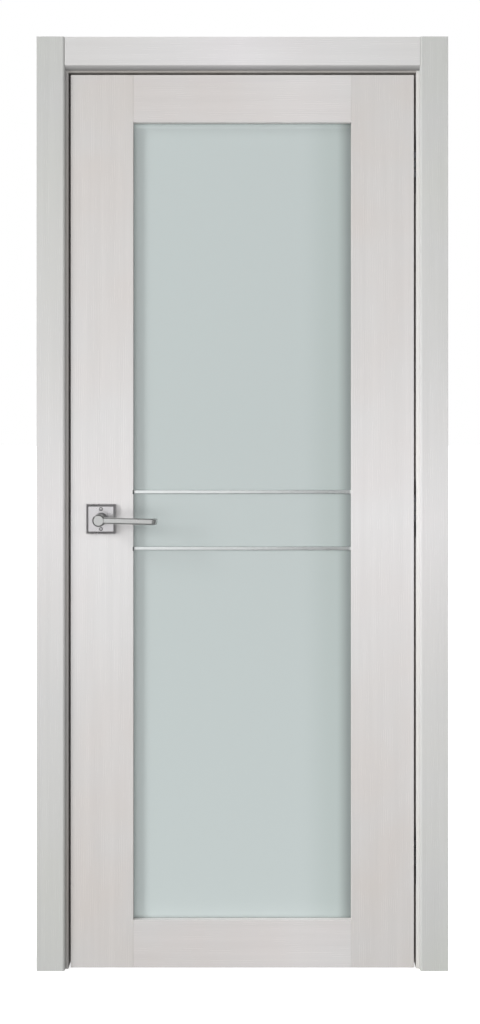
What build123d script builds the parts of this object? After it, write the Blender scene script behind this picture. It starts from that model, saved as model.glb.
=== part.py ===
from build123d import *
from math import atan2, degrees, radians, tan
import os

# A glazed interior door hung in its lining, in millimetres, seen from the side it opens towards.
# X runs to the viewer's right, Y away from the viewer, Z up. The origin is on the wall face of
# the hinge jamb, at floor level and halfway through the wall.

# Driving dimensions of the leaf
LEAF_WIDTH = 762
LEAF_HEIGHT = 1981
LEAF_THICKNESS = 40
LEAF_UNDERCUT = 3
STILE_WIDTH = 139
TOP_RAIL = 105
BOTTOM_RAIL = 105
LOCK_EDGE_BEVEL = 2
JOINT_EASE = 0.8

# Glazing: three panes between two aluminium bars
GROOVE_DEPTH = 12
GROOVE_WIDTH = 12
PANE_THICKNESS = 8
PANE_EDGE_COVER = 10
BAR_HEIGHT = 8
BAR_FLANGE = 3
BAR_ROUND = 1
BAR_WEB = 3
BAR_HALF_SPACING = 63
BAR_MIDDLE_ABOVE_LEAF = 992
BAR_NOTCH = (3, 9)

# Lining, stops and architraves
GAP = 5
JAMB_THICKNESS = 35
JAMB_DEPTH = 100
STOP_THICKNESS = 15
SEAL_PROUD = 3
SEAL_WIDTH = 8
SEAL_STEM_WIDTH = 3.6
SEAL_STEM_DEPTH = 6
SEAL_ROUND = 2.4
CASING_WIDTH = 62
SIDE_CASING_THICKNESS = 12
HEAD_CASING_THICKNESS = 10
SIDE_REVEAL = 7
HEAD_REVEAL = 5
HEAD_CASING_HEIGHT = 72
CASING_OUTER_ROUND = 1
SIDE_CASING_INNER_ROUND = 5
HEAD_CASING_CHAMFER = 9
BOARD_EASE = 1

# Lever handle, on both faces
HANDLE_BACKSET = 68
HANDLE_ABOVE_LEAF = 996
ROSETTE = 65
ROSETTE_THICKNESS = 9
ROSETTE_BEVEL_DEPTH = 3
ROSETTE_BEVEL = 5
ROSETTE_SCREW_OFFSET = 22
ROSETTE_SCREW_SEAT = (4.4, 2)
NECK_RADIUS = 10
NECK_FOOT_RADIUS = 14.5
NECK_WAIST_RADIUS = 10.4
NECK_WAIST_AT = 0.4
NECK_END = 2
HUB_RADIUS = 13.6
HUB_BAND = 7
HUB_CHAMFER = 3
HUB_CHAMFER_DEPTH = 2
HUB_PROUD = 0.6
LEVER_REACH = 127
LEVER_STAND_OFF = 52
LEVER_THICKNESS = 11
LEVER_HEIGHT = 14
LEVER_DROP = 3
LEVER_RETURN = 21
LEVER_BEND = 6
LEVER_EDGE_ROUND = 3.5
LEVER_TIP_ROUND = 1.5
SPINDLE = 8
SPINDLE_BORE_RADIUS = 11
RUNNING_FIT = 0.1
FOOT_CLEARANCE = 0.4

# Lock edge
FOREND = (20, 235, 3)
LATCH_BOLT = (12, 26, 34)
STRIKE = (24, 170, 2)
STRIKE_MOUTH = (15, 32, 16)

# Concealed hinges, from the middle of the gap and the leaf's front face
HINGE_HEIGHTS = {"lower": 250, "middle": 1020, "upper": 1790}
AXIS_PROUD = 1.2
PIN_SPREAD = 24
PIN_RADIUS = 2.5
PIN_HOLE_COVER = 1
PIN_END_PLAY = 1
CUP_FRONT = 2
CUP_BACK = 36
CUP_DEPTH = 27.5
CUP_HEIGHT = 76
CUP_WALL = 1.5
CUP_END_WALL = 6
HINGE_PLATE_HEIGHT = 136
HINGE_PLATE_THICKNESS = 3
SWING = 100
ARM_RISE = 19.75
ARM_THICKNESS = 6.5
ARM_LEAF_HEIGHT = 14
ARM_LEAF_PITCH = 21
SLOT_CLEARANCE = 0.6

# Planes and lines that follow from those sizes
FRONT = -JAMB_DEPTH / 2
BACK = FRONT + LEAF_THICKNESS
WALL_BACK = JAMB_DEPTH / 2
HINGE_EDGE = -(JAMB_THICKNESS + GAP)
LOCK_EDGE = HINGE_EDGE - LEAF_WIDTH
CENTRE_X = (HINGE_EDGE + LOCK_EDGE) / 2
HINGE_REBATE = -JAMB_THICKNESS
LOCK_REBATE = LOCK_EDGE - GAP
LEAF_TOP = LEAF_UNDERCUT + LEAF_HEIGHT
HEAD_REBATE = LEAF_TOP + GAP
LINING_TOP = HEAD_REBATE + JAMB_THICKNESS
STOP_FACE = BACK + GAP + SEAL_PROUD
STOP_HEAD = HEAD_REBATE - STOP_THICKNESS
MID_LEAF = (FRONT + BACK) / 2

OPENING_LEFT = LOCK_EDGE + STILE_WIDTH
OPENING_RIGHT = HINGE_EDGE - STILE_WIDTH
OPENING_BOTTOM = LEAF_UNDERCUT + BOTTOM_RAIL
OPENING_TOP = LEAF_TOP - TOP_RAIL
BAR_MIDDLE = LEAF_UNDERCUT + BAR_MIDDLE_ABOVE_LEAF
BAR_LEVELS = {"lower": BAR_MIDDLE - BAR_HALF_SPACING, "upper": BAR_MIDDLE + BAR_HALF_SPACING}

HANDLE_X = LOCK_EDGE + HANDLE_BACKSET
HANDLE_Z = LEAF_UNDERCUT + HANDLE_ABOVE_LEAF

# With the arm turning at half the leaf's angle, this inset closes the linkage at rest and at 90
GAP_MIDDLE = HINGE_REBATE - GAP / 2
PIN_INSET = PIN_SPREAD * tan(radians(22.5)) - AXIS_PROUD
PIN_Y = FRONT + PIN_INSET


def block(x, y, z):
    """A plain block between the two limits given for each axis."""
    size = (x[1] - x[0], y[1] - y[0], z[1] - z[0])
    return Pos(x[0], y[0], z[0]) * Box(*size, align=(Align.MIN, Align.MIN, Align.MIN))


def save(shape, node):
    """Write one named piece."""
    export_step(shape, f"parts/{node}.step")


def upright(section, bottom, top):
    """Stand a plan section up between two heights."""
    return Pos(0, 0, bottom) * extrude(section, amount=top - bottom, dir=(0, 0, 1))


def mirrored(shape):
    """The same piece on the other side of the door's middle."""
    return mirror(shape, Plane.YZ.offset(CENTRE_X))


# Concealed hinge


def hinge_outline(side):
    """Plate with round ends and the cup behind it: the space that is let into the wood."""
    plate_width = CUP_BACK - CUP_FRONT
    middle_y = FRONT + (CUP_FRONT + CUP_BACK) / 2
    face_x = GAP_MIDDLE + side * GAP / 2
    plate = Plane((face_x, middle_y, 0), x_dir=(0, 0, 1), z_dir=(side, 0, 0)) * SlotOverall(
        HINGE_PLATE_HEIGHT, plate_width
    )
    cup_x = sorted((face_x, face_x + side * CUP_DEPTH))
    cup_y = (FRONT + CUP_FRONT, FRONT + CUP_BACK)
    cup = block(cup_x, cup_y, (-CUP_HEIGHT / 2, CUP_HEIGHT / 2))
    return extrude(plate, amount=HINGE_PLATE_THICKNESS) + cup


def hinge_pocket(side):
    """The hollow in the cup that the arms fold into."""
    face_x = GAP_MIDDLE + side * GAP / 2
    pocket_x = sorted((face_x - side, face_x + side * (CUP_DEPTH - CUP_WALL)))
    pocket_y = (FRONT + CUP_FRONT + CUP_WALL, FRONT + CUP_BACK - CUP_WALL)
    half = CUP_HEIGHT / 2 - CUP_END_WALL
    return block(pocket_x, pocket_y, (-half, half))


def frame_cup():
    """Frame half of the hinge, with round holes for the fixed pin."""
    hole = Cylinder(PIN_RADIUS + RUNNING_FIT, CUP_HEIGHT - 2 * PIN_HOLE_COVER)
    return hinge_outline(1) - hinge_pocket(1) - Pos(GAP_MIDDLE + PIN_SPREAD, PIN_Y, 0) * hole


def slide_path():
    """Where the arm's far pin wanders in the leaf cup as the leaf swings, from its rest place."""
    axis = Vector(GAP_MIDDLE, FRONT - AXIS_PROUD)
    fixed_pin = Vector(GAP_MIDDLE + PIN_SPREAD, PIN_Y)
    rest = Vector(GAP_MIDDLE - PIN_SPREAD, PIN_Y)
    points = []
    for angle in range(0, SWING + 1, 10):
        reach = (rest - fixed_pin).rotate(Axis.Z, angle / 2)
        points.append(axis + (fixed_pin + reach - axis).rotate(Axis.Z, -angle))
    return points


def leaf_cup():
    """Leaf half of the hinge, with slots in which the far pin slides."""
    spots = [Pos(point) * Circle(PIN_RADIUS + SLOT_CLEARANCE) for point in slide_path()]
    slot = make_hull(Sketch(children=spots).edges())
    reach = CUP_HEIGHT / 2 - PIN_HOLE_COVER
    return hinge_outline(-1) - hinge_pocket(-1) - upright(slot, -reach, reach)


def hinge_arm():
    """Three curved links on two pins. They bow inwards, round the arrises, as the leaf opens."""
    ends = (GAP_MIDDLE + PIN_SPREAD, GAP_MIDDLE - PIN_SPREAD)
    bow = ThreePointArc((ends[0], PIN_Y), (GAP_MIDDLE, PIN_Y + ARM_RISE), (ends[1], PIN_Y))
    link = SlotArc(bow, ARM_THICKNESS)
    arm = None
    for level in (-ARM_LEAF_PITCH, 0, ARM_LEAF_PITCH):
        layer = upright(link, level - ARM_LEAF_HEIGHT / 2, level + ARM_LEAF_HEIGHT / 2)
        arm = layer if arm is None else arm + layer
    for x in ends:
        arm += Pos(x, PIN_Y, 0) * Cylinder(PIN_RADIUS, CUP_HEIGHT - 2 * (PIN_HOLE_COVER + PIN_END_PLAY))
    return arm


def make_hinges():
    frame_half = frame_cup()
    leaf_half = leaf_cup()
    arm = hinge_arm()
    for place, height in HINGE_HEIGHTS.items():
        save(Pos(0, 0, height) * frame_half, f"{place}_hinge_cup")
        save(Pos(0, 0, height) * leaf_half, f"{place}_hinge_leaf_cup")
        save(Pos(0, 0, height) * arm, f"{place}_hinge_arm")


def hinge_mortises(side):
    """Everything that the hinges take out of a jamb or a stile."""
    return [Pos(0, 0, height) * hinge_outline(side) for height in HINGE_HEIGHTS.values()]


# Lock edge


def lock_edge_plane():
    """Middle of the bevelled lock edge at handle height, looking into the stile."""
    angle = degrees(atan2(LOCK_EDGE_BEVEL, LEAF_THICKNESS))
    middle = Pos(LOCK_EDGE + LOCK_EDGE_BEVEL / 2, MID_LEAF, HANDLE_Z)
    return middle * Rot(0, 0, -angle)


def forend_blank():
    width, height, thickness = FOREND
    return lock_edge_plane() * block((0, thickness), (-width / 2, width / 2), (-height / 2, height / 2))


def bolt_blank():
    width, height, depth = LATCH_BOLT
    return lock_edge_plane() * block((0, depth), (-width / 2, width / 2), (-height / 2, height / 2))


def strike_blank():
    width, height, thickness = STRIKE
    middle = Pos(LOCK_REBATE, MID_LEAF, HANDLE_Z)
    return middle * block((-thickness, 0), (-width / 2, width / 2), (-height / 2, height / 2))


def strike_mouth():
    """The hole for the latch, through the plate and on into the jamb."""
    width, height, depth = STRIKE_MOUTH
    middle = Pos(LOCK_REBATE, MID_LEAF, HANDLE_Z)
    return middle * block((-depth, 0), (-width / 2, width / 2), (-height / 2, height / 2))


def make_lock_edge():
    save(forend_blank() - bolt_blank(), "lock_forend")
    save(bolt_blank(), "latch_bolt")
    save(strike_blank() - strike_mouth(), "strike_plate")


# Lining and stops


def make_jambs():
    section = Pos(HINGE_REBATE / 2, 0) * Rectangle(JAMB_THICKNESS, JAMB_DEPTH)
    section = chamfer(section.vertices().group_by(Axis.X)[0], BOARD_EASE)
    jamb = upright(section, 0, LINING_TOP)
    lock_jamb = mirrored(jamb) - strike_blank() - strike_mouth()
    for mortise in hinge_mortises(1):
        jamb -= mortise
    save(jamb, "hinge_jamb")
    save(lock_jamb, "lock_jamb")
    length = HINGE_REBATE - LOCK_REBATE
    head = Pos(CENTRE_X, 0, HEAD_REBATE + JAMB_THICKNESS / 2) * Box(length, JAMB_DEPTH, JAMB_THICKNESS)
    low = head.edges().filter_by(Axis.X).group_by(Axis.Z)[0]
    save(chamfer(low, BOARD_EASE), "head_jamb")


def stop_section():
    """Stop and its seal groove, drawn with the rebate face at X 0 and the front face at Y 0."""
    depth = WALL_BACK - STOP_FACE
    board = Rectangle(STOP_THICKNESS, depth, align=(Align.MAX, Align.MIN))
    board = chamfer(board.vertices().group_by(Axis.X)[0], BOARD_EASE)
    groove = Pos(-STOP_THICKNESS / 2, 0) * Rectangle(
        SEAL_STEM_WIDTH, SEAL_STEM_DEPTH, align=(Align.CENTER, Align.MIN)
    )
    return board - groove


def seal_section():
    """Stem in the groove and a round-shouldered bulb in front of it, drawn like the stop."""
    stem = Rectangle(SEAL_STEM_WIDTH, SEAL_STEM_DEPTH, align=(Align.CENTER, Align.MIN))
    bulb = Rectangle(SEAL_WIDTH, SEAL_PROUD, align=(Align.CENTER, Align.MAX))
    bulb = fillet(bulb.vertices().group_by(Axis.Y)[0], SEAL_ROUND)
    return Pos(-STOP_THICKNESS / 2, 0) * (stem + bulb)


def make_stops_and_seals():
    for section, kind in ((stop_section(), "stop"), (seal_section(), "seal")):
        side = upright(Pos(HINGE_REBATE, STOP_FACE) * section, 0, HEAD_REBATE)
        save(side, f"hinge_{kind}")
        save(mirrored(side), f"lock_{kind}")
        length = HINGE_REBATE - LOCK_REBATE - 2 * STOP_THICKNESS
        flat = extrude(section, amount=length, dir=(0, 0, 1))
        place = Plane(
            (HINGE_REBATE - STOP_THICKNESS, STOP_FACE, HEAD_REBATE), x_dir=(0, 0, 1), z_dir=(-1, 0, 0)
        )
        save(place.location * flat, f"head_{kind}")


# Architraves


def casing_section(width, thickness, shape_arris, size):
    """Board with its inner arris, on X 0, shaped to that size and its outer one eased."""
    board = Rectangle(width, thickness, align=(Align.MIN, Align.MAX))
    inner, outer = board.vertices().group_by(Axis.Y)[0].sort_by(Axis.X)
    board = shape_arris(inner, size)
    return fillet(board.vertices().sort_by_distance(outer)[0], CASING_OUTER_ROUND)


def casings(inner, head_bottom):
    """Two side boards and the head board that butts between them, wall side on Y 0."""
    top = head_bottom + HEAD_CASING_HEIGHT
    side_section = casing_section(
        CASING_WIDTH, SIDE_CASING_THICKNESS, fillet, SIDE_CASING_INNER_ROUND
    )
    side = upright(Pos(inner, 0) * side_section, 0, top)
    section = casing_section(
        HEAD_CASING_HEIGHT, HEAD_CASING_THICKNESS, chamfer, HEAD_CASING_CHAMFER
    )
    place = Plane((inner, 0, head_bottom), x_dir=(0, 0, 1), z_dir=(-1, 0, 0))
    head = place.location * extrude(section, amount=2 * (inner - CENTRE_X), dir=(0, 0, 1))
    return {"hinge_side": side, "lock_side": mirrored(side), "head": head}


def make_casings():
    """Front set round the rebates, back set round the stops and facing the other way."""
    front = casings(HINGE_REBATE + SIDE_REVEAL, HEAD_REBATE + HEAD_REVEAL)
    for name, board in front.items():
        save(Pos(0, FRONT, 0) * board, f"front_casing_{name}")
    back = casings(HINGE_REBATE - STOP_THICKNESS + SIDE_REVEAL, STOP_HEAD + HEAD_REVEAL)
    for name, board in back.items():
        save(Pos(0, WALL_BACK, 0) * mirror(board, Plane.XZ), f"back_casing_{name}")


# Leaf


def bar_notches():
    """Slots in the lock stile's inner edge, left open at the ends of the glazing bars."""
    depth, height = BAR_NOTCH
    x = (OPENING_LEFT - depth, OPENING_LEFT)
    return [block(x, (FRONT, BACK), (z - height / 2, z + height / 2)) for z in BAR_LEVELS.values()]


def stile(outer_front, outer_back, inner):
    """One stile: eased arrises and a full-length glazing groove in its inner edge."""
    outline = Polygon(
        (inner, FRONT), (outer_front, FRONT), (outer_back, BACK), (inner, BACK), align=None
    )
    outline = chamfer(outline.vertices(), JOINT_EASE)
    outward = 1 if outer_front > inner else -1
    groove_x = sorted((inner, inner + outward * GROOVE_DEPTH))
    body = upright(outline, LEAF_UNDERCUT, LEAF_TOP)
    groove_y = (MID_LEAF - GROOVE_WIDTH / 2, MID_LEAF + GROOVE_WIDTH / 2)
    return body - block(groove_x, groove_y, (LEAF_UNDERCUT, LEAF_TOP))


def make_stiles():
    hinge_stile = stile(HINGE_EDGE, HINGE_EDGE, OPENING_RIGHT)
    for mortise in hinge_mortises(-1):
        hinge_stile -= mortise
    save(hinge_stile, "hinge_stile")
    lock_stile = stile(LOCK_EDGE, LOCK_EDGE + LOCK_EDGE_BEVEL, OPENING_LEFT)
    for notch in bar_notches():
        lock_stile -= notch
    bore = Pos(HANDLE_X, MID_LEAF, HANDLE_Z) * Rot(90, 0, 0) * Cylinder(SPINDLE_BORE_RADIUS, LEAF_THICKNESS)
    save(lock_stile - forend_blank() - bolt_blank() - bore, "lock_stile")


def rail(outer, inner):
    """One rail, housed between the stiles on tongues that fill their grooves."""
    z = sorted((outer, inner))
    body = block((OPENING_LEFT, OPENING_RIGHT), (FRONT, BACK), z)
    body = chamfer(body.edges().filter_by(Axis.Z), JOINT_EASE)
    outward = 1 if outer > inner else -1
    bed = inner + outward * GROOVE_DEPTH
    groove_y = (MID_LEAF - GROOVE_WIDTH / 2, MID_LEAF + GROOVE_WIDTH / 2)
    reach = (OPENING_LEFT - GROOVE_DEPTH, OPENING_RIGHT + GROOVE_DEPTH)
    body += block(reach, groove_y, sorted((outer, bed)))
    return body - block(reach, groove_y, sorted((inner, bed)))


def pane_levels():
    """Lower and upper edge of each pane."""
    bottom = OPENING_BOTTOM - PANE_EDGE_COVER
    top = OPENING_TOP + PANE_EDGE_COVER
    half = BAR_WEB / 2
    return {
        "lower": (bottom, BAR_LEVELS["lower"] - half),
        "middle": (BAR_LEVELS["lower"] + half, BAR_LEVELS["upper"] - half),
        "upper": (BAR_LEVELS["upper"] + half, top),
    }


def glazing_bar(level):
    """Aluminium H-section with eased flanges, its web housed in the stiles' grooves."""
    section = Rectangle(PANE_THICKNESS, BAR_WEB)
    for side, outer in ((-1, 0), (1, -1)):
        flange = Rectangle(BAR_FLANGE, BAR_HEIGHT)
        flange = fillet(flange.vertices().group_by(Axis.X)[outer], BAR_ROUND)
        section += Pos(side * (PANE_THICKNESS + BAR_FLANGE) / 2, 0) * flange
    place = Plane((OPENING_LEFT, MID_LEAF, level), x_dir=(0, 1, 0), z_dir=(1, 0, 0))
    bar = place.location * extrude(section, amount=OPENING_RIGHT - OPENING_LEFT, dir=(0, 0, 1))
    reach = (OPENING_LEFT - PANE_EDGE_COVER, OPENING_RIGHT + PANE_EDGE_COVER)
    pane_y = (MID_LEAF - PANE_THICKNESS / 2, MID_LEAF + PANE_THICKNESS / 2)
    return bar + block(reach, pane_y, (level - BAR_WEB / 2, level + BAR_WEB / 2))


def make_glazing():
    reach = (OPENING_LEFT - PANE_EDGE_COVER, OPENING_RIGHT + PANE_EDGE_COVER)
    pane_y = (MID_LEAF - PANE_THICKNESS / 2, MID_LEAF + PANE_THICKNESS / 2)
    for name, z in pane_levels().items():
        save(block(reach, pane_y, z), f"{name}_pane")
    for name, level in BAR_LEVELS.items():
        save(glazing_bar(level), f"{name}_glazing_bar")
    ring = block(
        (OPENING_LEFT - GROOVE_DEPTH, OPENING_RIGHT + GROOVE_DEPTH),
        (MID_LEAF - GROOVE_WIDTH / 2, MID_LEAF + GROOVE_WIDTH / 2),
        (OPENING_BOTTOM - GROOVE_DEPTH, OPENING_TOP + GROOVE_DEPTH),
    )
    ring -= block((OPENING_LEFT, OPENING_RIGHT), (FRONT, BACK), (OPENING_BOTTOM, OPENING_TOP))
    for notch in bar_notches():
        ring -= notch
    glass = block(reach, pane_y, (OPENING_BOTTOM - PANE_EDGE_COVER, OPENING_TOP + PANE_EDGE_COVER))
    save(ring - glass, "glazing_gasket")


# Handle


def rosette():
    """Square plate with a bevelled border, on the XY plane, with its bore and two screw seats."""
    base = extrude(Rectangle(ROSETTE, ROSETTE), ROSETTE_THICKNESS - ROSETTE_BEVEL_DEPTH)
    slope = degrees(atan2(ROSETTE_BEVEL, ROSETTE_BEVEL_DEPTH))
    top = Pos(0, 0, ROSETTE_THICKNESS - ROSETTE_BEVEL_DEPTH) * extrude(
        Rectangle(ROSETTE, ROSETTE), ROSETTE_BEVEL_DEPTH, taper=slope
    )
    plate = base + top - Cylinder(NECK_RADIUS + RUNNING_FIT, 3 * ROSETTE_THICKNESS)
    seat_radius, seat_depth = ROSETTE_SCREW_SEAT
    for side in (-1, 1):
        seat = Pos(0, side * ROSETTE_SCREW_OFFSET, ROSETTE_THICKNESS) * Cylinder(seat_radius, 2 * seat_depth)
        plate -= seat
    return plate


def lever_neck():
    """Turned neck: a journal in the rosette, a flared foot, a waist and the hub with its eased rim."""
    foot = ROSETTE_THICKNESS + FOOT_CLEARANCE
    top = LEVER_STAND_OFF + LEVER_THICKNESS / 2 + HUB_PROUD
    hub_start = top - HUB_CHAMFER_DEPTH - HUB_BAND
    journal = Polyline((0, NECK_END), (NECK_RADIUS, NECK_END), (NECK_RADIUS, foot), (NECK_FOOT_RADIUS, foot))
    waist = ThreePointArc(
        (NECK_FOOT_RADIUS, foot),
        (NECK_WAIST_RADIUS, foot + (hub_start - foot) * NECK_WAIST_AT),
        (HUB_RADIUS, hub_start),
    )
    hub = Polyline(
        (HUB_RADIUS, hub_start),
        (HUB_RADIUS, top - HUB_CHAMFER_DEPTH),
        (HUB_RADIUS - HUB_CHAMFER, top),
        (0, top),
        (0, NECK_END),
    )
    profile = make_face([*journal.edges(), waist, *hub.edges()])
    return revolve(Plane.XZ * profile, Axis.Z)


def lever_bar():
    """Flat bar with rounded edges that falls a little towards its tip and turns in to the door."""
    end = LEVER_REACH - LEVER_THICKNESS / 2
    tip = LEVER_STAND_OFF - LEVER_RETURN
    path = FilletPolyline((0, LEVER_STAND_OFF), (end, LEVER_STAND_OFF), (end, tip), radius=LEVER_BEND)
    across = Plane((0, 0, LEVER_STAND_OFF), x_dir=(0, 1, 0), z_dir=(1, 0, 0))
    section = across * RectangleRounded(LEVER_HEIGHT, LEVER_THICKNESS, LEVER_EDGE_ROUND)
    bar = sweep(section, Plane.XZ * path)
    bar = fillet(bar.edges().group_by(Axis.Z)[0], LEVER_TIP_ROUND)
    return Rot(0, 0, -degrees(atan2(LEVER_DROP, LEVER_REACH))) * bar


def make_handle():
    """The back set mirrors the front one through the middle of the leaf."""
    front = Plane((HANDLE_X, FRONT, HANDLE_Z), x_dir=(1, 0, 0), z_dir=(0, -1, 0)).location
    for shape, kind in ((rosette(), "rosette"), (lever_neck() + lever_bar(), "lever")):
        placed = front * shape
        save(placed, f"front_{kind}")
        save(mirror(placed, Plane.XZ.offset(-MID_LEAF)), f"back_{kind}")
    reach = LEAF_THICKNESS + 2 * NECK_END
    save(Pos(HANDLE_X, MID_LEAF, HANDLE_Z) * Box(SPINDLE, reach, SPINDLE), "spindle")


os.makedirs("parts", exist_ok=True)
make_jambs()
make_stops_and_seals()
make_casings()
make_stiles()
save(rail(LEAF_TOP, OPENING_TOP), "top_rail")
save(rail(LEAF_UNDERCUT, OPENING_BOTTOM), "bottom_rail")
make_glazing()
make_lock_edge()
make_handle()
make_hinges()
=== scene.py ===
from math import cos, pi, radians, sin

import bmesh
import bpy
from mathutils import Matrix, Vector


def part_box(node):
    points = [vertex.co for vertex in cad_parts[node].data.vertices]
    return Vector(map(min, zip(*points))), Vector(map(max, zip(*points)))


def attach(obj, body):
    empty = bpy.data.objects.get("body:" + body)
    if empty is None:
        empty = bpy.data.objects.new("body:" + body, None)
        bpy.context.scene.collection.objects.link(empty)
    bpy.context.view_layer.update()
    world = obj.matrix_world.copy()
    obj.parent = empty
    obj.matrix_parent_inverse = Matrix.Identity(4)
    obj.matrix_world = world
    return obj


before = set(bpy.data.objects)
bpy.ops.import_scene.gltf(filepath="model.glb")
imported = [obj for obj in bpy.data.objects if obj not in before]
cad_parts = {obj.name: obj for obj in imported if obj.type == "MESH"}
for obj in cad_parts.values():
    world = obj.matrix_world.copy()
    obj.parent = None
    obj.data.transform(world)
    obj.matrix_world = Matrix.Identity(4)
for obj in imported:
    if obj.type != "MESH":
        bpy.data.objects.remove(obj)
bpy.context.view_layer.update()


# Lining

# Three boards of engineered timber line the wall opening. They are wrapped in a pale oak-print
# laminate whose fine embossed pores run along each board, and are screwed to the wall through
# packers, so no fixing shows.
MM = 0.001


def linear(code):
    """Linear colour of an sRGB hex value."""
    channels = [int(code[i:i + 2], 16) / 255 for i in (1, 3, 5)]
    return (*[((c + 0.055) / 1.055) ** 2.4 if c > 0.04045 else c / 12.92 for c in channels], 1.0)


def add(material, kind, values=None, links=None, **settings):
    """Add one node: settings are its own, values fill its free inputs, links feed the others."""
    tree = material.node_tree
    node = tree.nodes.new(kind)
    for name, value in settings.items():
        setattr(node, name, value)
    for socket, value in (values or {}).items():
        node.inputs[socket].default_value = value
    for socket, source in (links or {}).items():
        tree.links.new(source, node.inputs[socket])
    return node


def blank(name, roughness, metallic=0.0):
    """A new material and its own shader node."""
    material = bpy.data.materials.new(name)
    material.use_nodes = True
    shader = material.node_tree.nodes["Principled BSDF"]
    shader.inputs["Roughness"].default_value = roughness
    shader.inputs["Metallic"].default_value = metallic
    return material, shader


def feed(shader, sources):
    """Link a source to each named input of the shader."""
    for socket, source in sources.items():
        shader.id_data.links.new(source, shader.inputs[socket])


def finish_nodes(material, *names):
    """Give each named piece this finish."""
    for name in names:
        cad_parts[name].material_slots[0].material = material


def along_grain(material, place, grain, size, shift=0.0):
    """Coordinates in which a pattern has that width across the grain and length along it."""
    scale = [1 / size[0]] * 3
    scale["XYZ".index(grain)] = 1 / size[1]
    return add(
        material, "ShaderNodeMapping", {"Location": (shift, shift, shift), "Scale": scale},
        {"Vector": place},
    ).outputs[0]


# Width and length of the embossed pores, drawn coarser than the real 0.3 mm so that they show
PORE = (4.2 * MM, 160 * MM)
PORE_DEPTH = 0.15 * MM
PORE_CONTRAST = 0.05
# The patches in which the pores gather, and how strong the pattern has to be there
PORE_PATCH = (9 * MM, 34 * MM)
PATCH_EDGE = {"From Min": 0.56, "From Max": 0.64}
# Fine streaks and broad soft bands of the print, and the distance over which its tint drifts
STREAK = (2 * MM, 150 * MM)
STREAK_CONTRAST = 0.03
PRINT_BAND = (14 * MM, 420 * MM)
BAND_CONTRAST = 0.02
TINT_DRIFT = 142.86 * MM
TINT_PLAY = 0.4
# Satin in the hollows of the relief, and a little duller on its ridges
LAMINATE_ROUGHNESS = (0.44, 0.58)
# 0.4 of the way to the board's end the painted falloff of light has gone 0.55 of the way to the end
# tone
PAINTED_FALLOFF = (0.4, 0.55)
# A wave pattern at this scale repeats once a unit
ONE_WAVE = 2 * pi / 20
# Between these a noise pattern mostly stays
NOISE_SPAN = {"From Min": 0.3, "From Max": 0.7}


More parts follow.
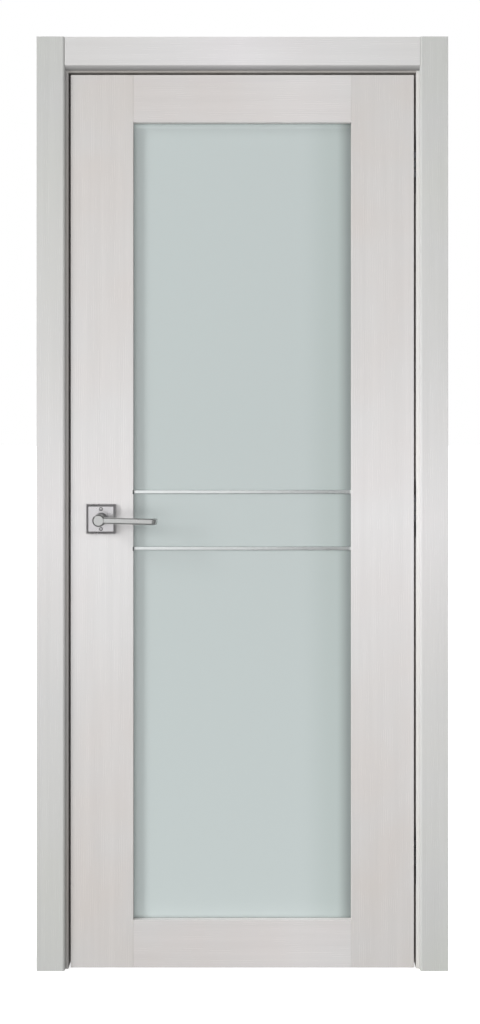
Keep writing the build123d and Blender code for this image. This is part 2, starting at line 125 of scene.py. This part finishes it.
def oak_laminate(name, painted_lit_tone, painted_shade_tone, run, shift, rim=None):
    """Oak-print laminate with painted light: its tone is lightest halfway along the board and
    darkens towards its two ends, as a lamp's falloff would. run is the axis of the grain, with the
    board's centre and half length on it. shift moves the print, so that one board doesn't carry on
    another's. rim is a height, two distances from it and a gain that the tone has up to the first
    distance and has lost by the second: painted light along an edge where the gain is above one,
    painted shade where it is below."""
    grain, middle, reach = run
    material, shader = blank(name, 0.5)
    place = add(material, "ShaderNodeTexCoord").outputs["Object"]
    parts = add(material, "ShaderNodeSeparateXYZ", links={"Vector": place})
    along = add(
        material, "ShaderNodeMapRange",
        {"From Min": middle - reach, "From Max": middle + reach, "To Min": -1.0, "To Max": 1.0},
        {"Value": parts.outputs["XYZ".index(grain)]},
    )
    off_middle = add(material, "ShaderNodeMath", links={0: along.outputs[0]}, operation="ABSOLUTE")
    # Painted light: the tone is lightest at the board's middle and darkens towards its ends
    tone = add(material, "ShaderNodeValToRGB", links={"Fac": off_middle.outputs[0]})
    stops = tone.color_ramp.elements
    stops[0].color = linear(painted_lit_tone)
    stops[1].color = linear(painted_shade_tone)
    stops.new(PAINTED_FALLOFF[0]).color = Vector(linear(painted_lit_tone)).lerp(linear(painted_shade_tone), PAINTED_FALLOFF[1])

    def printed(size, detail):
        """Soft marks of that size, with finer ones in them where detail is more than 0."""
        return add(
            material, "ShaderNodeTexNoise", {"Scale": 1.0, "Detail": detail, "Roughness": 0.5},
            {"Vector": along_grain(material, place, grain, size, shift)},
        ).outputs[0]

    pores = add(
        material, "ShaderNodeTexWave",
        {"Scale": ONE_WAVE, "Distortion": 5.0, "Detail": 0.0, "Detail Scale": 0.5},
        {"Vector": along_grain(material, place, grain, PORE, shift)},
        bands_direction="Z" if grain == "X" else "X",
    ).outputs[1]
    patches = add(
        material, "ShaderNodeMapRange", PATCH_EDGE, {"Value": printed(PORE_PATCH, 0.0)},
        interpolation_type="SMOOTHSTEP",
    )
    relief = add(
        material, "ShaderNodeMapRange", {"To Min": -0.6, "To Max": 1.0}, {"Value": pores}
    )
    gathered = add(
        material, "ShaderNodeMath", links={0: relief.outputs[0], 1: patches.outputs[0]},
        operation="MULTIPLY",
    ).outputs[0]
    strength = add(
        material, "ShaderNodeMapRange",
        {**NOISE_SPAN, "To Min": 1 - BAND_CONTRAST, "To Max": 1 + BAND_CONTRAST},
        {"Value": printed(PRINT_BAND, 3.0)},
    ).outputs[0]
    marks = ((printed(STREAK, 1.0), STREAK_CONTRAST), (gathered, PORE_CONTRAST))
    for pattern, contrast in marks:
        strength = add(
            material, "ShaderNodeMath", {1: contrast}, {0: pattern, 2: strength},
            operation="MULTIPLY_ADD",
        ).outputs[0]
    if rim:
        height, near, far, gain = rim
        off_height = add(
            material, "ShaderNodeMath", {1: height}, {0: parts.outputs["Z"]}, operation="SUBTRACT"
        )
        distance = add(
            material, "ShaderNodeMath", links={0: off_height.outputs[0]}, operation="ABSOLUTE"
        )
        painted_edge_gain = add(
            material, "ShaderNodeMapRange",
            {"From Min": near, "From Max": far, "To Min": gain, "To Max": 1.0},
            {"Value": distance.outputs[0]},
        )
        strength = add(
            material, "ShaderNodeMath", links={0: strength, 1: painted_edge_gain.outputs[0]},
            operation="MULTIPLY",
        ).outputs[0]
    drift = add(
        material, "ShaderNodeTexNoise", {"Scale": 1 / TINT_DRIFT, "Detail": 1.0}, {"Vector": place}
    )
    tint = add(
        material, "ShaderNodeMapRange",
        {**NOISE_SPAN, "To Min": 1 - TINT_PLAY, "To Max": 1 + TINT_PLAY},
        {"Value": drift.outputs[0]},
    )
    colour = add(
        material, "ShaderNodeHueSaturation",
        links={"Color": tone.outputs[0], "Value": strength, "Saturation": tint.outputs[0]},
    )
    bump = add(
        material, "ShaderNodeBump", {"Strength": 0.35, "Distance": PORE_DEPTH}, {"Height": gathered}
    )
    smooth, dull = LAMINATE_ROUGHNESS
    sheen = add(
        material, "ShaderNodeMapRange",
        {"From Min": -1.0, "From Max": 1.0, "To Min": smooth, "To Max": dull},
        {"Value": gathered},
    )
    feed(shader, {
        "Base Color": colour.outputs[0], "Roughness": sheen.outputs[0], "Normal": bump.outputs[0],
    })
    return material


leaf_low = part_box("lock_stile")[0]
leaf_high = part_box("hinge_stile")[1]
leaf_middle = (leaf_low + leaf_high) / 2
leaf_reach = (leaf_high - leaf_low) / 2
UPRIGHT = ("Z", leaf_middle.z, leaf_reach.z)
LEVEL = ("X", leaf_middle.x, leaf_reach.x)

# The hinge-side board is toned paler as painted light, and the lock-side and head boards darker as
# painted shade, where the architraves shade them. The stops share these tones.
painted_light_hinge_lining = oak_laminate("oak_laminate_painted_light_lining", "#E8E6E4", "#D8D6D3", UPRIGHT, 3.0)
painted_shade_lock_lining = oak_laminate("oak_laminate_painted_shade_lining", "#B1AEAC", "#A6A3A0", UPRIGHT, 4.0)
painted_shade_head_lining = oak_laminate("oak_laminate_painted_shade_head_lining", "#AAA6A1", "#A39F9A", LEVEL, 5.0)
finish_nodes(painted_light_hinge_lining, "hinge_jamb")
finish_nodes(painted_shade_lock_lining, "lock_jamb")
finish_nodes(painted_shade_head_lining, "head_jamb")


# Stops and seals

# Laminated stops are pinned and glued to the lining. A soft extruded seal is pressed into the
# groove in each one's front edge, and the leaf closes against it. The rubber is matt and a little
# uneven in tone, with a fine skin.

# Grain of the skin, drawn coarser than the real tenth of a millimetre so that it shows
SEAL_SKIN = 0.8 * MM
SEAL_DEPTH = 0.1 * MM
SEAL_CONTRAST = 0.1


def soft_rubber(name, tone):
    """Matt rubber with next to no highlight."""
    material, shader = blank(name, 0.75)
    place = add(material, "ShaderNodeTexCoord").outputs["Object"]
    skin = add(
        material, "ShaderNodeTexNoise", {"Scale": 1 / SEAL_SKIN, "Detail": 2.0}, {"Vector": place}
    )
    value = add(
        material, "ShaderNodeMapRange",
        {"To Min": 1 - SEAL_CONTRAST, "To Max": 1 + SEAL_CONTRAST}, {"Value": skin.outputs[0]},
    )
    colour = add(
        material, "ShaderNodeHueSaturation", {"Color": linear(tone)}, {"Value": value.outputs[0]}
    )
    bump = add(
        material, "ShaderNodeBump", {"Strength": 0.3, "Distance": SEAL_DEPTH},
        {"Height": skin.outputs[0]},
    )
    feed(shader, {"Base Color": colour.outputs[0], "Normal": bump.outputs[0]})
    shader.inputs["Specular IOR Level"].default_value = 0.3
    return material


finish_nodes(painted_light_hinge_lining, "hinge_stop", "lock_stop")
finish_nodes(painted_shade_head_lining, "head_stop")
finish_nodes(soft_rubber("grey_seal_rubber", "#8C8D8B"), "hinge_seal", "lock_seal", "head_seal")


# Architraves

# Flat boards wrapped in the same oak print cover the joint with the wall on both sides. The side
# boards run to the floor and stand a little prouder than the head board that butts between them.
# Painted shade darkens the head board's bevelled lower edge, which faces down.
BEVEL_HEIGHT = 10 * MM
BEVEL_PAINTED_SHADE = 0.38

side_casing = oak_laminate("oak_laminate_casing", "#DFDDDD", "#C3C4C1", UPRIGHT, 11.0)
head_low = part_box("front_casing_head")[0].z
# Measured from the floor, so all of the back board that hangs lower carries the painted shade as
# well
head_bevel_painted_shade = (0.0, head_low, head_low + BEVEL_HEIGHT, BEVEL_PAINTED_SHADE)
head_casing = oak_laminate(
    "oak_laminate_casing_head", "#DEDCDD", "#D2D1D0", LEVEL, 7.0, head_bevel_painted_shade
)
for face in ("front", "back"):
    finish_nodes(side_casing, f"{face}_casing_hinge_side", f"{face}_casing_lock_side")
    finish_nodes(head_casing, f"{face}_casing_head")


# Leaf

# Two full-height stiles with the rails housed between them, all wrapped one by one in the oak
# print before the leaf is pressed together, so a hairline shows where they meet. The rails' edges
# round the glass are toned paler: painted light that lifts the shade in the recess.
RAIL_EDGE_PAINTED_LIGHT = 1.45
RAIL_EDGE_LIGHT_FADE = (0.1 * MM, 0.4 * MM)
# The rails' painted light is brightest this far to the hinge side of their middle
RAIL_PAINTED_LIGHT_SHIFT = 120 * MM

stile_print_and_painted_light = oak_laminate("oak_laminate_stile", "#E2E0E0", "#CCC8C5", UPRIGHT, 0.0)
glass_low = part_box("bottom_rail")[1].z
glass_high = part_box("top_rail")[0].z
glass_middle = (glass_low + glass_high) / 2
glass_reach = glass_high - glass_middle
# Painted light on the rails' edge faces round the glass, where the recess shades them
rail_edge_painted_light = (glass_middle, *[glass_reach + fade for fade in RAIL_EDGE_LIGHT_FADE], RAIL_EDGE_PAINTED_LIGHT)
rail_run = ("X", leaf_middle.x + RAIL_PAINTED_LIGHT_SHIFT, leaf_reach.x)
rail_print_and_painted_light = oak_laminate("oak_laminate_rail", "#D6D3D2", "#CECAC8", rail_run, 17.0, rail_edge_painted_light)
finish_nodes(stile_print_and_painted_light, "lock_stile", "hinge_stile")
finish_nodes(rail_print_and_painted_light, "top_rail", "bottom_rail")


# Glass

# Three panes of laminated safety glass with an acid-etched face. Light scatters in them, so they
# read as an even, pale grey-green sheet. Painted shade darkens it beside the hinge stile, and
# painted light pales it a little downwards and under the top rail, where the rail shades it.
GLASS_TONE = "#BFC8C7"
GLASS_HALF_PAINTED_SHADE = "#B5BFBD"
GLASS_PAINTED_SHADE_TONE = "#8B9392"
# Shares of the way across to the hinge stile where the painted shade begins, and where it is deep
EVEN_UP_TO = 0.76
PAINTED_SHADE_AT = 0.93
# The painted light at the bottom of the glass is lost this far above its middle
LOW_PAINTED_LIGHT = 1.08
LOW_PAINTED_LIGHT_REACH = 200 * MM
# The painted light at the top rail's edge, and how far below it that is lost
UNDER_RAIL_PAINTED_LIGHT = 1.4
UNDER_RAIL_PAINTED_LIGHT_REACH = 14 * MM
# Size and depth of the etched pits, drawn coarser than the real tenth of a millimetre
ETCH_PIT = 1.1111 * MM
ETCH_DEPTH = 0.1 * MM

satin_glass, glass_shader = blank("satin_etched_glass", 0.42)
place = add(satin_glass, "ShaderNodeTexCoord").outputs["Object"]
glass_parts = add(satin_glass, "ShaderNodeSeparateXYZ", links={"Vector": place})
across = add(
    satin_glass, "ShaderNodeMapRange",
    {"From Min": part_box("lock_stile")[1].x, "From Max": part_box("hinge_stile")[0].x},
    {"Value": glass_parts.outputs["X"]},
)
# Painted shade: the tone darkens towards the hinge stile
tone = add(satin_glass, "ShaderNodeValToRGB", links={"Fac": across.outputs[0]})
tone.color_ramp.interpolation = "EASE"
tone.color_ramp.elements[0].color = linear(GLASS_TONE)
tone.color_ramp.elements[1].color = linear(GLASS_PAINTED_SHADE_TONE)
tone.color_ramp.elements.new(EVEN_UP_TO).color = linear(GLASS_TONE)
tone.color_ramp.elements.new(PAINTED_SHADE_AT).color = linear(GLASS_HALF_PAINTED_SHADE)
# Painted light: paler towards the bottom, and under the top rail where the rail shades the glass
painted_light_downwards = add(
    satin_glass, "ShaderNodeMapRange",
    {
        "From Min": glass_low, "From Max": glass_middle + LOW_PAINTED_LIGHT_REACH,
        "To Min": LOW_PAINTED_LIGHT, "To Max": 1.0,
    },
    {"Value": glass_parts.outputs["Z"]},
)
painted_light_under_rail = add(
    satin_glass, "ShaderNodeMapRange",
    {
        "From Min": glass_high - UNDER_RAIL_PAINTED_LIGHT_REACH, "From Max": glass_high,
        "To Min": 1.0, "To Max": UNDER_RAIL_PAINTED_LIGHT,
    },
    {"Value": glass_parts.outputs["Z"]}, interpolation_type="SMOOTHSTEP",
)
gain = add(
    satin_glass, "ShaderNodeMath", links={0: painted_light_downwards.outputs[0], 1: painted_light_under_rail.outputs[0]},
    operation="MULTIPLY",
)
colour = add(
    satin_glass, "ShaderNodeHueSaturation",
    links={"Color": tone.outputs[0], "Value": gain.outputs[0]},
)
etch = add(
    satin_glass, "ShaderNodeTexNoise", {"Scale": 1 / ETCH_PIT, "Detail": 2.0}, {"Vector": place}
)
bump = add(
    satin_glass, "ShaderNodeBump", {"Strength": 0.08, "Distance": ETCH_DEPTH},
    {"Height": etch.outputs[0]},
)
feed(glass_shader, {"Base Color": colour.outputs[0], "Normal": bump.outputs[0]})
finish_nodes(satin_glass, "lower_pane", "middle_pane", "upper_pane")

# The channel round the panes is the same soft rubber in a clear grey, and hardly shows
finish_nodes(soft_rubber("clear_grey_gasket", "#9AA09E"), "glazing_gasket")


# Glazing bars

# Two H-section bars hold the panes' edges, and their webs run on into grooves in the stiles. They
# are extruded aluminium with a satin anodised skin, and the fine die lines along them spread a
# highlight over the bar's height.
# Width and length of the die lines, drawn coarser than the real 0.2 mm so that they show
DIE_LINE = (0.9 * MM, 90 * MM)
LINE_DEPTH = 0.04 * MM


def vary(material, shader, pattern, tone, contrast, play):
    """Let the tone and the roughness of a metal rise and fall a little with the pattern."""
    roughness = shader.inputs["Roughness"].default_value
    value = add(
        material, "ShaderNodeMapRange",
        {**NOISE_SPAN, "To Min": 1 - contrast, "To Max": 1 + contrast}, {"Value": pattern},
    )
    colour = add(
        material, "ShaderNodeHueSaturation", {"Color": linear(tone)}, {"Value": value.outputs[0]}
    )
    gloss = add(
        material, "ShaderNodeMapRange",
        {**NOISE_SPAN, "To Min": roughness - play, "To Max": roughness + play},
        {"Value": pattern},
    )
    feed(shader, {"Base Color": colour.outputs[0], "Roughness": gloss.outputs[0]})


def drawn_metal(name, tone, roughness, line, grain, contrast=0.06):
    """Metal with fine lines along one axis, as rolling, brushing or a die leaves them."""
    material, shader = blank(name, roughness, 1.0)
    place = add(material, "ShaderNodeTexCoord").outputs["Object"]
    lines = add(
        material, "ShaderNodeTexNoise", {"Scale": 1.0, "Detail": 3.0, "Roughness": 0.6},
        {"Vector": along_grain(material, place, grain, line)},
    ).outputs[0]
    vary(material, shader, lines, tone, contrast, 0.06)
    bump = add(
        material, "ShaderNodeBump", {"Strength": 0.3, "Distance": LINE_DEPTH}, {"Height": lines}
    )
    feed(shader, {"Normal": bump.outputs[0]})
    return material


finish_nodes(
    drawn_metal("satin_anodised_aluminium", "#EEF2F2", 0.28, DIE_LINE, "X"),
    "lower_glazing_bar", "upper_glazing_bar",
)


# Lock edge

# The mortice lock's forend and the keep opposite it are stamped from stainless strip and brushed
# lengthwise. The latch face is a moulded black polymer block with a dull fine grain, and a magnet
# draws it into the keep.

# Brush lines and mould grain, drawn coarser than the real tenth of a millimetre so that they show
BRUSH_LINE = (0.5 * MM, 35 * MM)
MOULD_GRAIN = 0.7143 * MM
MOULD_DEPTH = 0.05 * MM

brushed_stainless = drawn_metal("brushed_stainless", "#C9C8C6", 0.3, BRUSH_LINE, "Z", 0.08)
finish_nodes(brushed_stainless, "lock_forend", "strike_plate")

latch_polymer, latch_shader = blank("moulded_black_polymer", 0.5)
grain = add(
    latch_polymer, "ShaderNodeTexNoise", {"Scale": 1 / MOULD_GRAIN, "Detail": 2.0},
    {"Vector": add(latch_polymer, "ShaderNodeTexCoord").outputs["Object"]},
)
tone = add(latch_polymer, "ShaderNodeValToRGB", links={"Fac": grain.outputs[0]})
tone.color_ramp.elements[0].color = linear("#1E1F21")
tone.color_ramp.elements[1].color = linear("#2C2D30")
bump = add(
    latch_polymer, "ShaderNodeBump", {"Strength": 0.4, "Distance": MOULD_DEPTH},
    {"Height": grain.outputs[0]},
)
feed(latch_shader, {"Base Color": tone.outputs[0], "Normal": bump.outputs[0]})
finish_nodes(latch_polymer, "latch_bolt")


# Fixing screws of the lock edge

# Countersunk stainless screws with a cross recess hold the forend and the keep, one near each
# end. Their heads stand a hair proud, and each is turned as it came tight.
SCREW_RADIUS = 3.6 * MM
SCREW_PROUD = 0.3 * MM
SCREW_SEAT = 0.8 * MM
RECESS_REACH = 2.1 * MM
RECESS_HALF = 0.5 * MM
RECESS_DEPTH = 1.0 * MM
RIM_EASE = 0.25 * MM
SHARP_ANGLE = radians(35)


def screw_head():
    """Flat head on the XY plane, facing +Z, with its cross recess."""
    head = bmesh.new()
    bmesh.ops.create_circle(head, segments=28, radius=SCREW_RADIUS)
    rim_edges = list(head.edges)
    corners = (
        (RECESS_REACH, -RECESS_HALF), (RECESS_REACH, RECESS_HALF), (RECESS_HALF, RECESS_HALF),
    )
    cross = []
    for quarter in range(4):
        turn = Matrix.Rotation(quarter * pi / 2, 3, "Z")
        cross += [head.verts.new(turn @ Vector((x, y, 0))) for x, y in corners]
    cross_edges = [head.edges.new((a, b)) for a, b in zip(cross, cross[1:] + cross[:1])]
    bmesh.ops.triangle_fill(head, use_beauty=True, edges=rim_edges + cross_edges)
    bmesh.ops.translate(head, verts=head.verts, vec=(0, 0, SCREW_PROUD))
    for loop, depth in ((rim_edges, SCREW_PROUD + SCREW_SEAT), (cross_edges, RECESS_DEPTH)):
        walls = bmesh.ops.extrude_edge_only(head, edges=loop)["geom"]
        lower = [v for v in walls if isinstance(v, bmesh.types.BMVert)]
        bmesh.ops.translate(head, verts=lower, vec=(0, 0, -depth))
        foot = [e for e in walls if isinstance(e, bmesh.types.BMEdge)]
        bmesh.ops.edgeloop_fill(head, edges=[e for e in foot if set(e.verts) <= set(lower)])
    bmesh.ops.recalc_face_normals(head, faces=head.faces)
    bmesh.ops.bevel(
        head, geom=rim_edges, offset=RIM_EASE, affect="EDGES", segments=2, profile=0.5, material=-1
    )
    return head


def set_copies(name, shape, places, material, body):
    """Add one piece made of a copy of the shape at each place."""
    single = bpy.data.meshes.new(name)
    shape.to_mesh(single)
    joined = bmesh.new()
    for place in places:
        copy = single.copy()
        copy.transform(place)
        joined.from_mesh(copy)
        bpy.data.meshes.remove(copy)
    bpy.data.meshes.remove(single)
    mesh = bpy.data.meshes.new(name)
    joined.to_mesh(mesh)
    joined.free()
    mesh.materials.append(material)
    mesh.shade_smooth()
    mesh.set_sharp_from_angle(angle=SHARP_ANGLE)
    piece = bpy.data.objects.new(name, mesh)
    bpy.context.scene.collection.objects.link(piece)
    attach(piece, body)


def facing(centre, out, turn):
    """Place whose Z points out of the surface at centre, turned about it by turn degrees."""
    tilt = Vector(out).to_track_quat("Z", "Y").to_matrix().to_4x4()
    return Matrix.Translation(centre) @ tilt @ Matrix.Rotation(radians(turn), 4, "Z")


def centre_of(name):
    """Middle of a piece's box."""
    low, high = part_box(name)
    return (low + high) / 2


FOREND_SCREW_INSET = 12 * MM
KEEP_SCREW_INSET = 14 * MM
# The lock edge is bevelled, and lies this far behind the stile's outermost line at the screws
LOCK_BEVEL = (-1.0, 0.05, 0.0)
LOCK_EDGE_BACK = 1 * MM

screw = screw_head()
latch_y = centre_of("latch_bolt").y
lock_edge = leaf_low.x + LOCK_EDGE_BACK
low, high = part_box("lock_forend")
places = [
    facing((lock_edge, latch_y, z), LOCK_BEVEL, turn)
    for z, turn in ((low.z + FOREND_SCREW_INSET, 20), (high.z - FOREND_SCREW_INSET, 65))
]
set_copies("forend_screws", screw, places, brushed_stainless, "leaf")
low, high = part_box("strike_plate")
places = [
    facing((high.x, latch_y, z), (1, 0, 0), turn)
    for z, turn in ((low.z + KEEP_SCREW_INSET, 10), (high.z - KEEP_SCREW_INSET, 50))
]
set_copies("strike_plate_screws", screw, places, brushed_stainless, "frame")


# Bar ends

# The slots beside the bars' ends in the lock stile are closed by a slip of the stile's laminate
# and, next to the bar, a black moulded plug set a little below the face. The black plug is
# painted shade, standing for the shadow in the slot beside each bar's end.
SLOT_WIDTH = 3 * MM
SLOT_HEIGHT = 8.9 * MM
PLUG_WIDTH = 1.4 * MM
PLUG_BELOW_FACE = 0.6 * MM
PLUG_DEPTH = 10 * MM

cube = bmesh.new()
bmesh.ops.create_cube(cube, size=1.0)
slot_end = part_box("lock_stile")[1].x
painted_shade_pieces = []
slips = []
fillers = (
    (painted_shade_pieces, -PLUG_WIDTH, 0.0, PLUG_BELOW_FACE),
    (slips, -SLOT_WIDTH, -PLUG_WIDTH, 0.0),
)
for level in ("lower", "upper"):
    z = centre_of(f"{level}_glazing_bar").z
    for y, inward in ((leaf_low.y, 1), (leaf_high.y, -1)):
        for pieces, near, far, sunk in fillers:
            middle = (slot_end + (near + far) / 2, y + inward * (sunk + PLUG_DEPTH / 2), z)
            size = Matrix.Diagonal((far - near, PLUG_DEPTH, SLOT_HEIGHT, 1.0))
            pieces.append(Matrix.Translation(middle) @ size)
# The black plugs are painted shade for the slots beside the bars' ends
set_copies("bar_end_painted_shade_blocks", cube, painted_shade_pieces, latch_polymer, "leaf")
set_copies("bar_end_slips", cube, slips, stile_print_and_painted_light, "leaf")
cube.free()


# Handle

# Lever and square rose are die-cast zinc with a satin nickel plate. The castings are blasted
# before plating, and the fine even grain hardly shows by itself but softens every reflection.
# The spindle that joins the levers is plain drawn steel.

# Blasted grain, drawn coarser than the real tenth of a millimetre, and the clouds in the plate
GRIT = 0.5 * MM
GRIT_DEPTH = 0.03 * MM
PLATE_CLOUD = 16.667 * MM


def cast_metal(name, tone, roughness, grit):
    """Casting with an even fine grain, and a faint cloud in its tone and its gloss."""
    material, shader = blank(name, roughness, 1.0)
    place = add(material, "ShaderNodeTexCoord").outputs["Object"]
    grain, cloud = [
        add(
            material, "ShaderNodeTexNoise", {"Scale": 1 / size, "Detail": 2.0}, {"Vector": place}
        ).outputs[0]
        for size in (grit, PLATE_CLOUD)
    ]
    vary(material, shader, cloud, tone, 0.05, 0.04)
    bump = add(
        material, "ShaderNodeBump", {"Strength": 0.15, "Distance": GRIT_DEPTH}, {"Height": grain}
    )
    feed(shader, {"Normal": bump.outputs[0]})
    return material


satin_nickel = cast_metal("satin_nickel_rose", "#DDDBDD", 0.3, GRIT)
finish_nodes(satin_nickel, "front_rosette", "back_rosette")
# The lever's copy of the nickel plate is toned darker than the rose's: painted shade
finish_nodes(cast_metal("satin_nickel_painted_shade_lever", "#CFD0CF", 0.3, GRIT), "front_lever", "back_lever")
finish_nodes(drawn_metal("plain_bar_steel", "#9C9C9E", 0.45, BRUSH_LINE, "Y"), "spindle")

# Two screws above and below the lever draw each rose to its pair through the leaf. Their heads
# lie in round seats below its face, each on a black washer that shows as a ring round it. The
# black washer is painted shade, standing for the dark gap between each head and its seat.
ROSE_SCREW_SPACING = 22 * MM
ROSE_SEAT_DEPTH = 2 * MM
ROSE_SCREW_SIZE = 0.84
WASHER_RADIUS = 4.2 * MM
WASHER_THICKNESS = 0.5 * MM

# The black washers are painted shade for the gap round each screw head
painted_shade_washer = bmesh.new()
bmesh.ops.create_cone(
    painted_shade_washer, cap_ends=True, segments=32, radius1=WASHER_RADIUS, radius2=WASHER_RADIUS,
    depth=WASHER_THICKNESS,
)
for face, out in (("front", -1), ("back", 1)):
    low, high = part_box(f"{face}_rosette")
    centre = (low + high) / 2
    y = low.y + ROSE_SEAT_DEPTH if out < 0 else high.y - ROSE_SEAT_DEPTH
    places = [
        facing((centre.x, y, centre.z + side * ROSE_SCREW_SPACING), (0, out, 0), 35 * side + 15)
        for side in (-1, 1)
    ]
    on_washer = Matrix.Translation((0, 0, WASHER_THICKNESS / 2)) @ Matrix.Scale(ROSE_SCREW_SIZE, 4)
    heads = [place @ on_washer for place in places]
    set_copies(f"{face}_rosette_screws", screw, heads, satin_nickel, "leaf")
    set_copies(f"{face}_rosette_painted_shade_rings", painted_shade_washer, places, latch_polymer, "leaf")
painted_shade_washer.free()


# Concealed hinges

# Two zinc castings let into the jamb and the stile, joined by plated steel links. They show only
# when the leaf is open. The castings are dull and even, and the links keep the fine lines of
# rolled strip.
CAST_GRIT = 0.9 * MM
HINGE_SCREW_Z = 54 * MM
HINGE_SCREW_Y = 8 * MM
HINGE_LEVELS = ("upper", "middle", "lower")

cast_zinc = cast_metal("satin_die_cast_zinc", "#B9B9BA", 0.38, CAST_GRIT)
plated_steel = drawn_metal("zinc_plated_steel", "#8C8E91", 0.38, BRUSH_LINE, "X")
for level in HINGE_LEVELS:
    finish_nodes(cast_zinc, f"{level}_hinge_cup", f"{level}_hinge_leaf_cup")
    finish_nodes(plated_steel, f"{level}_hinge_arm")

for half, out, body in (("cup", -1, "frame"), ("leaf_cup", 1, "leaf")):
    places = []
    for level in HINGE_LEVELS:
        low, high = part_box(f"{level}_hinge_{half}")
        centre = (low + high) / 2
        x = low.x if out < 0 else high.x
        for side in (-1, 1):
            for across in (-1, 1):
                spot = (x, centre.y + across * HINGE_SCREW_Y, centre.z + side * HINGE_SCREW_Z)
                places.append(facing(spot, (out, 0, 0), 40 * across + 25 * side))
    set_copies(f"hinge_{half}_screws", screw, places, brushed_stainless, body)
screw.free()


# Floor

# A plain white floor, so pale that the camera sees next to no shadow on it. It isn't part of the
# door and gives it no light.
FLOOR_REACH = 60.0
FLOOR_GLOW = 0.72

floor_mesh = bpy.data.meshes.new("floor")
floor_shape = bmesh.new()
bmesh.ops.create_grid(floor_shape, x_segments=1, y_segments=1, size=FLOOR_REACH)
floor_shape.to_mesh(floor_mesh)
floor_shape.free()
floor = bpy.data.objects.new("floor", floor_mesh)
bpy.context.scene.collection.objects.link(floor)
floor_paint, floor_shader = blank("white_floor", 0.9)
floor_shader.inputs["Base Color"].default_value = linear("#EDEDED")
floor_shader.inputs["Specular IOR Level"].default_value = 0.0
floor_shader.inputs["Emission Color"].default_value = linear("#FFFFFF")
floor_shader.inputs["Emission Strength"].default_value = FLOOR_GLOW
floor_mesh.materials.append(floor_paint)
floor.visible_diffuse = False
floor.visible_glossy = False
floor.visible_shadow = False


# Light

# Two even rows of soft light in front, and three keys one above the other on the left, which cast
# the shadows. The metal mirrors soft boxes in front, behind and at the four corners, a small
# bright one high on the left, and a dim surround. The back has a key of its own.
TARGET = Vector((leaf_middle.x, leaf_low.y, 1.0))
KEY_DISTANCE = 5.0
BOX_DISTANCE = 5.5
# Strength of the surround, and what the metal mirrors of it
SURROUND = 0.22
MIRRORED_SURROUND = 0.17


def aimed(name, light, azimuth, elevation, distance, in_gloss, in_diffuse=True):
    """Lamp aimed at the middle of the door. Azimuth 0 stands in front, 90 on the left."""
    lamp = bpy.data.objects.new(name, light)
    bpy.context.scene.collection.objects.link(lamp)
    a, e = radians(azimuth), radians(elevation)
    away = Vector((-sin(a) * cos(e), -cos(a) * cos(e), sin(e)))
    lamp.location = TARGET + away * distance
    lamp.rotation_mode = "QUATERNION"
    lamp.rotation_quaternion = away.to_track_quat("Z", "Y")
    lamp.visible_camera = False
    lamp.visible_glossy = in_gloss
    lamp.visible_diffuse = in_diffuse


def soft_key(name, azimuth, elevation, spread, strength):
    """Even light whose shadows blur as those of a large source do. Metal doesn't mirror it."""
    light = bpy.data.lights.new(name, "SUN")
    light.angle = radians(spread)
    light.energy = strength
    aimed(name, light, azimuth, elevation, KEY_DISTANCE, False)


def soft_box(name, azimuth, elevation, size, power, in_diffuse=True):
    """Square lamp that metal mirrors. Without in_diffuse it shows only in reflections."""
    light = bpy.data.lights.new(name, "AREA")
    light.size = size
    light.energy = power
    aimed(name, light, azimuth, elevation, BOX_DISTANCE, True, in_diffuse)


for azimuth in range(-60, 46, 15):
    for elevation in (-15, 15):
        soft_key(f"row_{azimuth}_{elevation}", azimuth, elevation, spread=16, strength=0.085)
for elevation, strength in ((-2, 0.3), (13, 0.72), (32, 1.0)):
    soft_key(f"key_{elevation}", 60, elevation, spread=16, strength=strength)
soft_key("back_key", 215, 20, spread=60, strength=2.4)
soft_box("front_box", 17, 8, size=4.2, power=53)
soft_box("back_box", 180, 8, size=4.2, power=58)
soft_box("glint_box", 48, 36, size=1.4, power=14, in_diffuse=False)
for azimuth in (-34, 36):
    soft_box(f"corner_box_{azimuth}", azimuth, 4, size=1.8, power=7, in_diffuse=False)
for azimuth in (135, 225):
    soft_box(f"corner_box_{azimuth}", azimuth, 8, size=4.2, power=45, in_diffuse=False)

world = bpy.data.worlds.new("surround")
world.use_nodes = True
bpy.context.scene.world = world
surround = world.node_tree.nodes["Background"]
surround.inputs["Color"].default_value = linear("#FFFFFF")
ray = add(world, "ShaderNodeLightPath")
mirrored = add(
    world, "ShaderNodeMapRange", {"To Min": SURROUND, "To Max": MIRRORED_SURROUND},
    {"Value": ray.outputs["Is Glossy Ray"]},
)
glow = add(
    world, "ShaderNodeMath", links={0: ray.outputs["Is Camera Ray"], 1: mirrored.outputs[0]},
    operation="MAXIMUM",
)
world.node_tree.links.new(glow.outputs[0], surround.inputs["Strength"])


# Camera

# The camera stands square to the door, 2.8 m in front of the leaf and 1.2 m above the floor. Its
# picture is shifted down instead of the camera being tilted, so the uprights stay parallel.
CAMERA_DISTANCE = 2.8
CAMERA_HEIGHT = 1.2145
CAMERA_OFFSET = -0.0052
FRAME_HEIGHT = 2.2730
SHIFT_UP = -0.0882
SENSOR = 36.0

camera_data = bpy.data.cameras.new("camera")
camera_data.sensor_width = SENSOR
camera_data.lens = SENSOR * CAMERA_DISTANCE / FRAME_HEIGHT
camera_data.shift_y = SHIFT_UP
camera = bpy.data.objects.new("camera", camera_data)
bpy.context.scene.collection.objects.link(camera)
camera.location = (leaf_middle.x + CAMERA_OFFSET, leaf_low.y - CAMERA_DISTANCE, CAMERA_HEIGHT)
camera.rotation_euler = (pi / 2, 0, 0)
bpy.context.scene.camera = camera
bpy.context.scene.view_settings.view_transform = "Standard"
